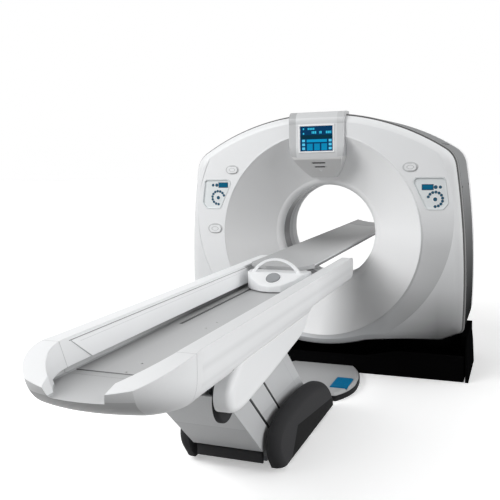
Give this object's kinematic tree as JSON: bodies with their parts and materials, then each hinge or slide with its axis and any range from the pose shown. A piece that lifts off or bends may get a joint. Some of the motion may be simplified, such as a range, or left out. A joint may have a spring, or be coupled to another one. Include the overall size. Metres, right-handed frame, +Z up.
{
  "type": "ct scanner",
  "caption": "Tilting CT scanner gantry with a flared round bore, side control panels and a display, and a lifting patient table with a sliding dished cradle.",
  "frame": {"origin": "on the floor, straight under the isocentre, at the centre of the gantry's floor anchors", "axes": "+Z up; the bore axis lies along Y at z = 1.017 m and the table stands on the -Y side; +X is to the right for somebody who faces the gantry from the table"},
  "size_m": [2.064, 5.1288, 1.8854],
  "materials": {
    "cover_white": "smooth moulded cover, satin sheen",
    "cover_grey": "fine-grained light grey moulding",
    "panel_grey": "fine-grained grey tray",
    "side_grey": "satin grey paint",
    "chin_grey": "fine-grained grey moulding",
    "key_blue": "smooth membrane keys, printed blue",
    "key_white": "smooth push buttons",
    "screen_blue": "lit liquid-crystal screens",
    "window_film": "thin dark film",
    "pod_grey": "dark grey grained moulding",
    "leaf_grey": "semi-matt grey paint",
    "base_black": "black textured paint",
    "frame_paint": "grey machine paint",
    "bright_steel": "ground steel",
    "rotor_metal": "machined aluminium",
    "tube_metal": "light grey paint",
    "cast_weight": "bare casting",
    "slip_brass": "turned brass tracks",
    "rubber_black": "black rubber",
    "pedal_blue": "blue ribbed pedal",
    "lining_grey": "smooth light grey sheet",
    "cradle_grey": "woven carbon fibre under a grey coat",
    "button_grey": "soft grey button"
  },
  "bodies": {
    "base": {"base_plinth": "base_black", "base_covers": "base_black", "uprights": "frame_paint", "tilt_drives": "frame_paint", "levelling_pads": "bright_steel", "table_base": "frame_paint", "front_bar": "pod_grey", "side_pods": "pod_grey", "pedal_tray": "cover_grey", "tray_edge": "rubber_black"},
    "pedal_right": {"pedal_right": "pedal_blue"},
    "pedal_left": {"pedal_left": "pedal_blue"},
    "gantry": {"tilt_frame": "frame_paint", "trunnion_pins": "bright_steel", "front_cover": "cover_white", "front_funnel": "cover_white", "rear_cover": "cover_white", "rear_funnel": "cover_white", "side_covers": "side_grey", "top_cover": "cover_white", "seam_seals": "rubber_black", "scan_window": "window_film", "bore_ring": "cover_grey", "display_housing": "cover_white", "display_chin": "chin_grey", "display_screens": "screen_blue", "control_panels": "panel_grey", "key_pads": "key_blue", "drive_motor": "frame_paint", "drive_belt": "rubber_black"},
    "oval_right": {"oval_button_right": "key_white"},
    "oval_left": {"oval_button_left": "key_white"},
    "oval_low": {"oval_button_low": "key_white"},
    "rotor": {"rotor_drum": "rotor_metal", "xray_tube": "tube_metal", "collimator": "rotor_metal", "detector": "rotor_metal", "power_modules": "rotor_metal", "counterweights": "cast_weight", "slip_ring": "slip_brass"},
    "pulley": {"motor_pulley": "bright_steel"},
    "lift_arm": {"front_arm": "frame_paint", "front_shroud": "leaf_grey", "knuckle_covers": "pod_grey"},
    "middle_link": {"middle_leaves": "leaf_grey"},
    "rear_link": {"rear_arm": "frame_paint", "rear_shroud": "leaf_grey"},
    "actuator": {"actuator_body": "frame_paint"},
    "actuator_ram": {"actuator_rod": "bright_steel"},
    "table_top": {"table_beam": "frame_paint", "table_shell": "cover_white", "foot_cap": "cover_white", "end_cap": "cover_grey", "trough_lining": "lining_grey", "side_fairings": "cover_grey"},
    "cradle": {"cradle": "cradle_grey", "cradle_tip": "cradle_grey", "carriage": "cover_white", "arch_handle": "cover_white"},
    "release": {"release_button": "button_grey"}
  },
  "joints": [
    {"name": "gantry_tilt", "type": "hinge", "parent": "base", "child": "gantry", "pos_m": [0, 0, 1.017], "axis": [1, 0, 0], "range_deg": [-30, 30]},
    {"name": "rotor_spin", "type": "hinge", "parent": "gantry", "child": "rotor", "pos_m": [0, 0, 1.017], "axis": [0, 1, 0], "continuous": true},
    {"name": "motor_spin", "type": "hinge", "parent": "gantry", "child": "pulley", "pos_m": [-0.7, 0, 0.517], "axis": [0, 1, 0], "continuous": true},
    {"name": "right_button_press", "type": "slide", "parent": "gantry", "child": "oval_right", "axis": [0, 1, 0], "range_m": [0, 0.003], "stiffness_N_per_m": 800, "springref_m": -0.003},
    {"name": "left_button_press", "type": "slide", "parent": "gantry", "child": "oval_left", "axis": [0, 1, 0], "range_m": [0, 0.003], "stiffness_N_per_m": 800, "springref_m": -0.003},
    {"name": "low_button_press", "type": "slide", "parent": "gantry", "child": "oval_low", "axis": [0, 1, 0], "range_m": [0, 0.003], "stiffness_N_per_m": 800, "springref_m": -0.003},
    {"name": "right_pedal_press", "type": "hinge", "parent": "base", "child": "pedal_right", "pos_m": [0.19, 0, 0.043], "axis": [0, 1, 0], "range_deg": [0, 4], "stiffness_Nm_per_rad": 25, "springref_deg": -3.44},
    {"name": "left_pedal_press", "type": "hinge", "parent": "base", "child": "pedal_left", "pos_m": [-0.19, 0, 0.043], "axis": [0, -1, 0], "range_deg": [0, 4], "stiffness_Nm_per_rad": 25, "springref_deg": -3.44},
    {"name": "table_lift", "type": "hinge", "parent": "base", "child": "lift_arm", "pos_m": [0, -1.98, 0.1], "axis": [1, 0, 0], "range_deg": [-5.1, 12.4]},
    {"name": "table_level", "type": "hinge", "parent": "lift_arm", "child": "table_top", "pos_m": [0, -2.60165, 0.6797], "axis": [1, 0, 0], "range_deg": [-12.65, 5.2]},
    {"name": "rear_link_swing", "type": "hinge", "parent": "base", "child": "rear_link", "pos_m": [0, -1.4, 0.1], "axis": [1, 0, 0], "range_deg": [-5.2, 12.65]},
    {"name": "middle_link_swing", "type": "hinge", "parent": "base", "child": "middle_link", "pos_m": [0, -1.832, 0.1], "axis": [1, 0, 0], "range_deg": [-5.2, 12.65]},
    {"name": "actuator_swing", "type": "hinge", "parent": "base", "child": "actuator", "pos_m": [0, -1.25, 0.09], "axis": [1, 0, 0], "range_deg": [-1.9, 4.63]},
    {"name": "actuator_extend", "type": "slide", "parent": "actuator", "child": "actuator_ram", "axis": [0, -0.958, 0.2867], "range_m": [-0.0169, 0.0411]},
    {"name": "cradle_slide", "type": "slide", "parent": "table_top", "child": "cradle", "axis": [0, -1, 0], "range_m": [-0.12, 1.8]},
    {"name": "release_press", "type": "slide", "parent": "cradle", "child": "release", "axis": [0, 0, -1], "range_m": [0, 0.003], "stiffness_N_per_m": 800, "springref_m": -0.004}
  ],
  "couplings": [
    {"joint": "motor_spin", "follows": "rotor_spin", "ratio": 11.5},
    {"joint": "table_level", "follows": "table_lift", "ratio": -1},
    {"joint": "rear_link_swing", "follows": "table_lift", "ratio": 1},
    {"joint": "middle_link_swing", "follows": "table_lift", "ratio": 1},
    {"joint": "actuator_swing", "follows": "table_lift", "ratio": 0.366},
    {"joint": "actuator_extend", "follows": "table_lift", "m_per_rad": 0.186}
  ]
}
